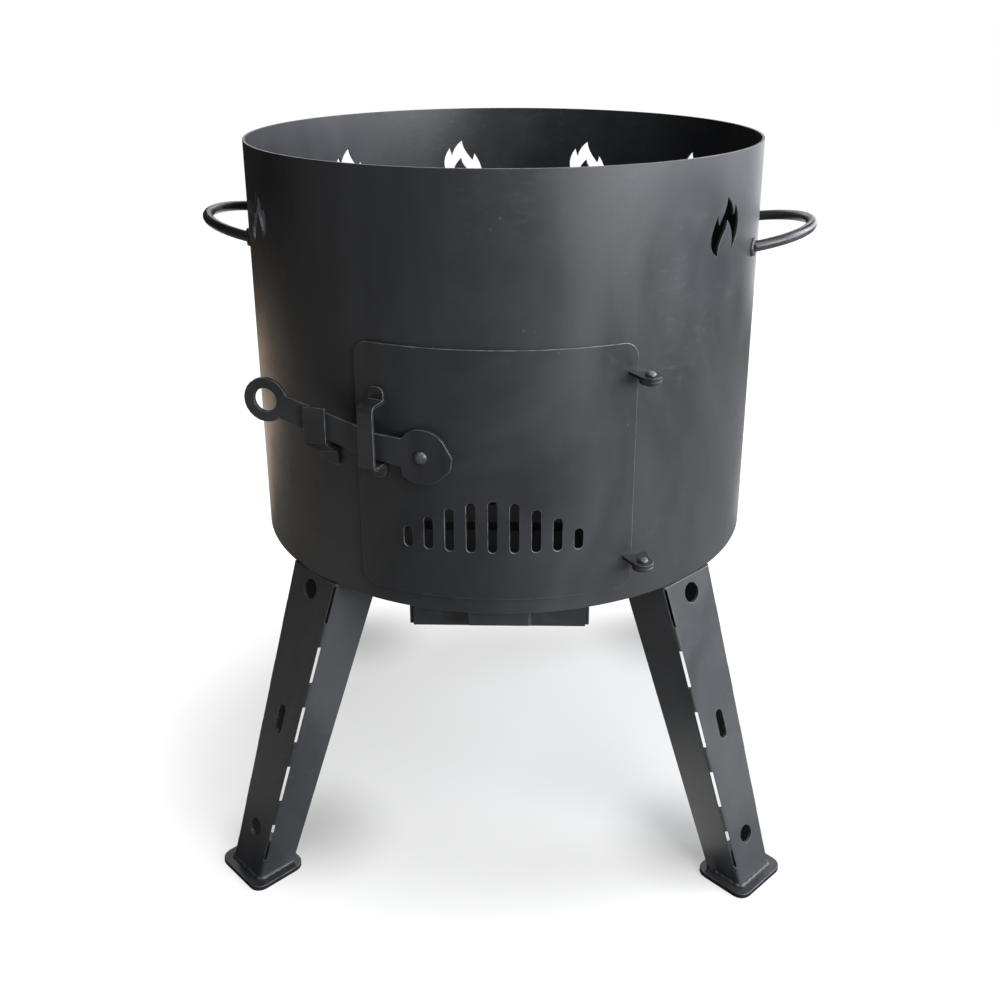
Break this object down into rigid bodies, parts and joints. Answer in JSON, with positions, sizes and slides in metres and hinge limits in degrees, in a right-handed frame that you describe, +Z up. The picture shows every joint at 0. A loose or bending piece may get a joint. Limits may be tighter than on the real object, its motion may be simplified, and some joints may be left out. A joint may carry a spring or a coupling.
{
  "type": "cauldron stove",
  "caption": "Round sheet-steel stove on folded slotted legs, with a curved hinged stoking door, drop-in lever latch, side handles, flame-shaped holes, loose grate and sliding ash tray.",
  "frame": {"origin": "on the floor under the barrel's axis, midway between the four feet", "axes": "+Z up along the barrel's axis; -Y towards the stoking door's side; +X to the right when the stoking door is faced"},
  "size_m": [0.5014, 0.4478, 0.559],
  "materials": {
    "black_paint": "satin heat-resistant black paint",
    "grate_iron": "raw cast iron",
    "zinc": "zinc-plated steel"
  },
  "bodies": {
    "stove": {"barrel_shell": "black_paint", "base_plate": "black_paint", "hinge_upper_ear_barrel": "black_paint", "hinge_upper_pin": "black_paint", "hinge_lower_ear_barrel": "black_paint", "hinge_lower_pin": "black_paint", "latch_keeper": "black_paint", "handle_left": "black_paint", "handle_right": "black_paint", "leg_1": "black_paint", "leg_2": "black_paint", "leg_3": "black_paint", "leg_4": "black_paint", "foot_1": "black_paint", "foot_2": "black_paint", "foot_3": "black_paint", "foot_4": "black_paint", "leg_bolt_1": "zinc", "leg_bolt_2": "zinc", "leg_bolt_3": "zinc", "leg_bolt_4": "zinc", "leg_nut_1": "zinc", "leg_nut_2": "zinc", "leg_nut_3": "zinc", "leg_nut_4": "zinc", "tray_rail_left": "black_paint", "tray_rail_right": "black_paint"},
    "door": {"door_panel": "black_paint", "hinge_upper_ear_door": "black_paint", "hinge_lower_ear_door": "black_paint", "latch_guide": "black_paint", "latch_rivet": "black_paint", "latch_washer": "zinc"},
    "latch": {"latch_lever": "black_paint"},
    "ash_drawer": {"ash_tray": "black_paint", "ash_tray_front": "black_paint", "ash_tray_pull": "black_paint"},
    "grate": {"grate": "grate_iron"}
  },
  "joints": [
    {"name": "door_swing", "type": "hinge", "parent": "stove", "child": "door", "pos_m": [0.10423, -0.19521, 0.348], "axis": [0, 0, 1], "range_deg": [0, 110]},
    {"name": "latch_lift", "type": "hinge", "parent": "door", "child": "latch", "pos_m": [-0.05273, -0.20389, 0.3612], "axis": [0.2504, 0.9681, 0], "range_deg": [0, 18]},
    {"name": "ash_drawer_slide", "type": "slide", "parent": "stove", "child": "ash_drawer", "axis": [0, -1, 0], "range_m": [0, 0.2]},
    {"name": "grate_lift", "type": "slide", "parent": "stove", "child": "grate", "axis": [0, 0, 1], "range_m": [0, 0.33]}
  ]
}
